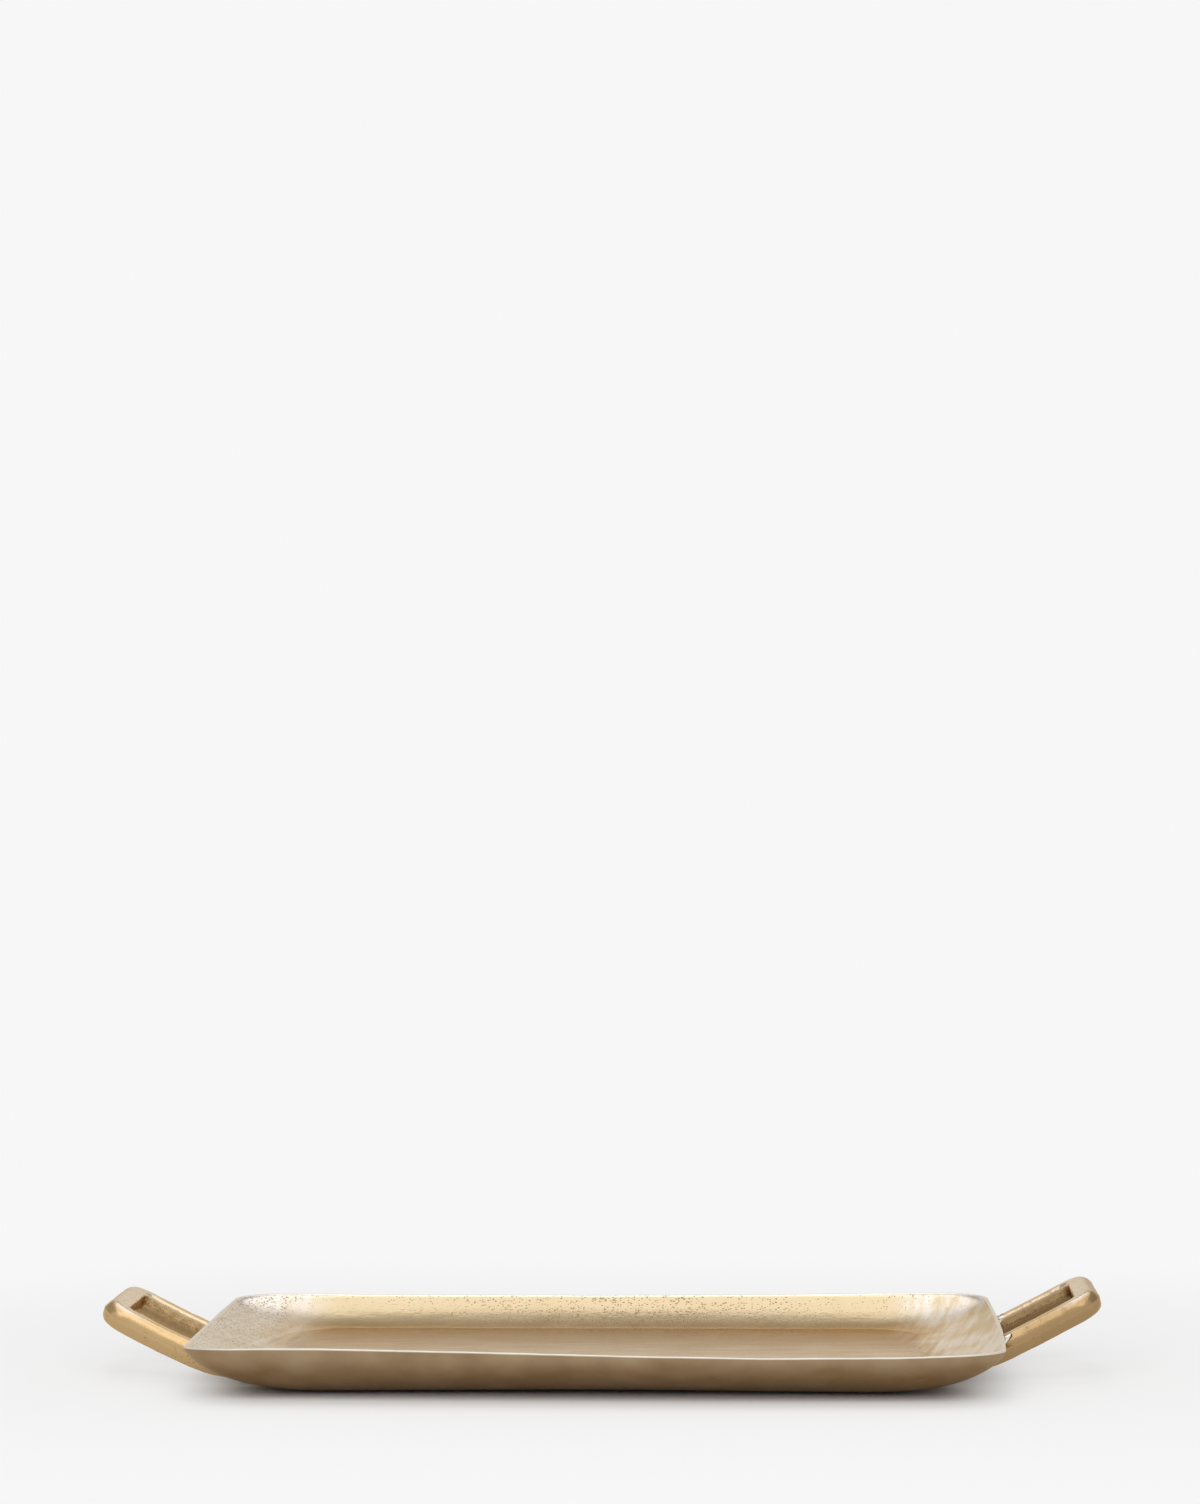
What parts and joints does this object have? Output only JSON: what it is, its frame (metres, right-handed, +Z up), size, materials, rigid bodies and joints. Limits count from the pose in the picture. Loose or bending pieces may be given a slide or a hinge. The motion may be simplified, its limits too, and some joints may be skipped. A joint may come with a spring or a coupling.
{
  "type": "serving tray",
  "caption": "Shallow rectangular cast brass tray with bowed sides, flared walls, a thin rounded lip and a U-shaped bar handle rising from each end.",
  "frame": {"origin": "on the table under the middle of the tray: centre of the bounding box's underside", "axes": "+X along the tray from handle_left to handle_right, +Y across it towards the rear long side, +Z up"},
  "size_m": [0.511, 0.2202, 0.0478],
  "materials": {
    "pan_brass": "sand-cast texture, satin antique finish",
    "handle_brass": "sand-cast texture, satin antique finish, edges rubbed brighter",
    "braze": "dressed braze, brushed",
    "felt": "dark felt"
  },
  "bodies": {
    "root": {"pan": "pan_brass", "handle_left": "handle_brass", "handle_right": "handle_brass", "braze_fillet_left_front": "braze", "braze_fillet_left_rear": "braze", "braze_fillet_right_front": "braze", "braze_fillet_right_rear": "braze", "felt_pad_left_front": "felt", "felt_pad_left_rear": "felt", "felt_pad_right_front": "felt", "felt_pad_right_rear": "felt"}
  },
  "joints": []
}
